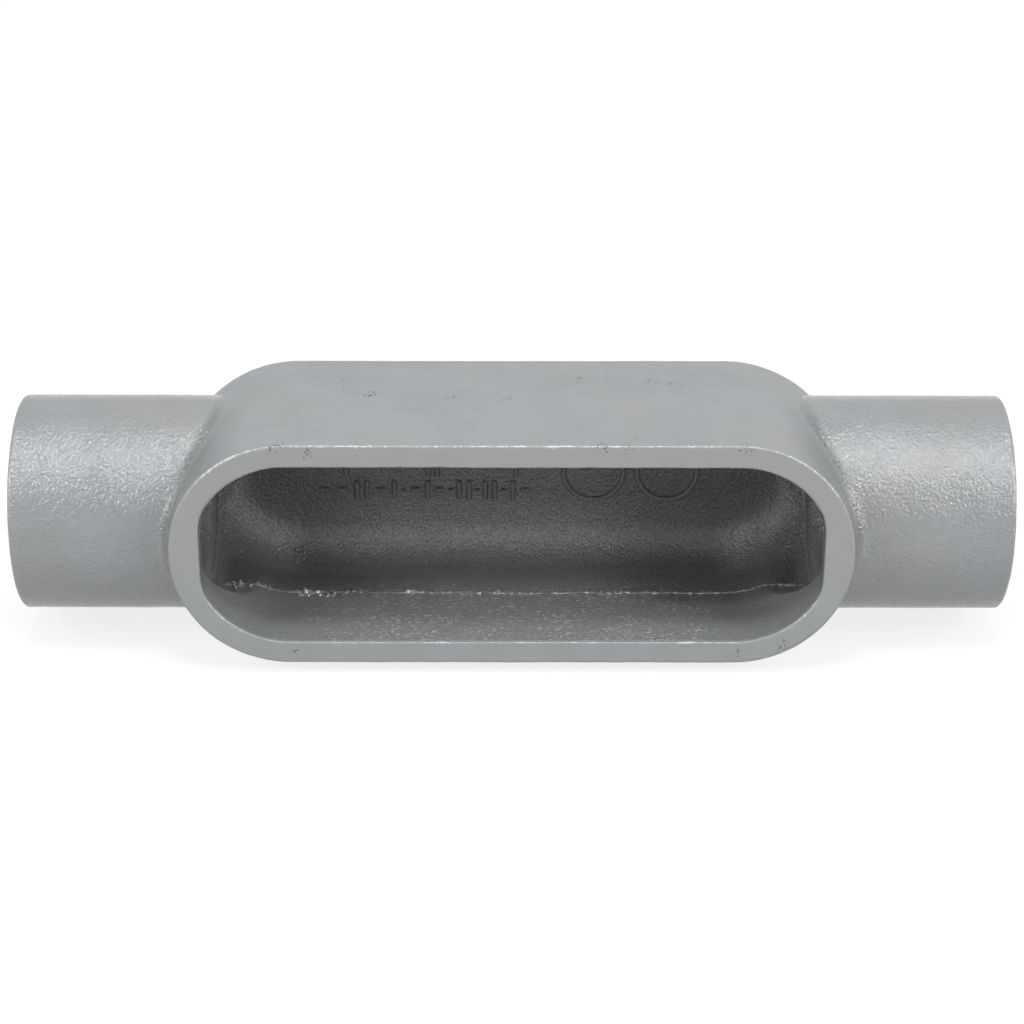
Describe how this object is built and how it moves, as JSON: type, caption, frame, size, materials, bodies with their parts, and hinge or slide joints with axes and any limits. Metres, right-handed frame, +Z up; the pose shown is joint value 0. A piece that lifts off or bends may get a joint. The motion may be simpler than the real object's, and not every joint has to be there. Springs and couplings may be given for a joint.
{
  "type": "conduit body",
  "caption": "Straight-through cast iron conduit body with a tapped hub at each end, integral bushings and one long open face for pulling wires.",
  "frame": {"origin": "on the common axis of the two hubs, midway between the hub mouths and on the casting's parting plane", "axes": "+X along the conduit run to the right when looking into the opening, the open face and its rim look along -Y, the back looks along +Y, +Z up"},
  "size_m": [0.1876, 0.0469, 0.0486],
  "materials": {
    "enamelled_iron": "grey baked enamel over an as-cast surface, satin, pebbly on the hubs and worn bright along the rim's edge"
  },
  "bodies": {
    "root": {"body_casting": "enamelled_iron"}
  },
  "joints": []
}
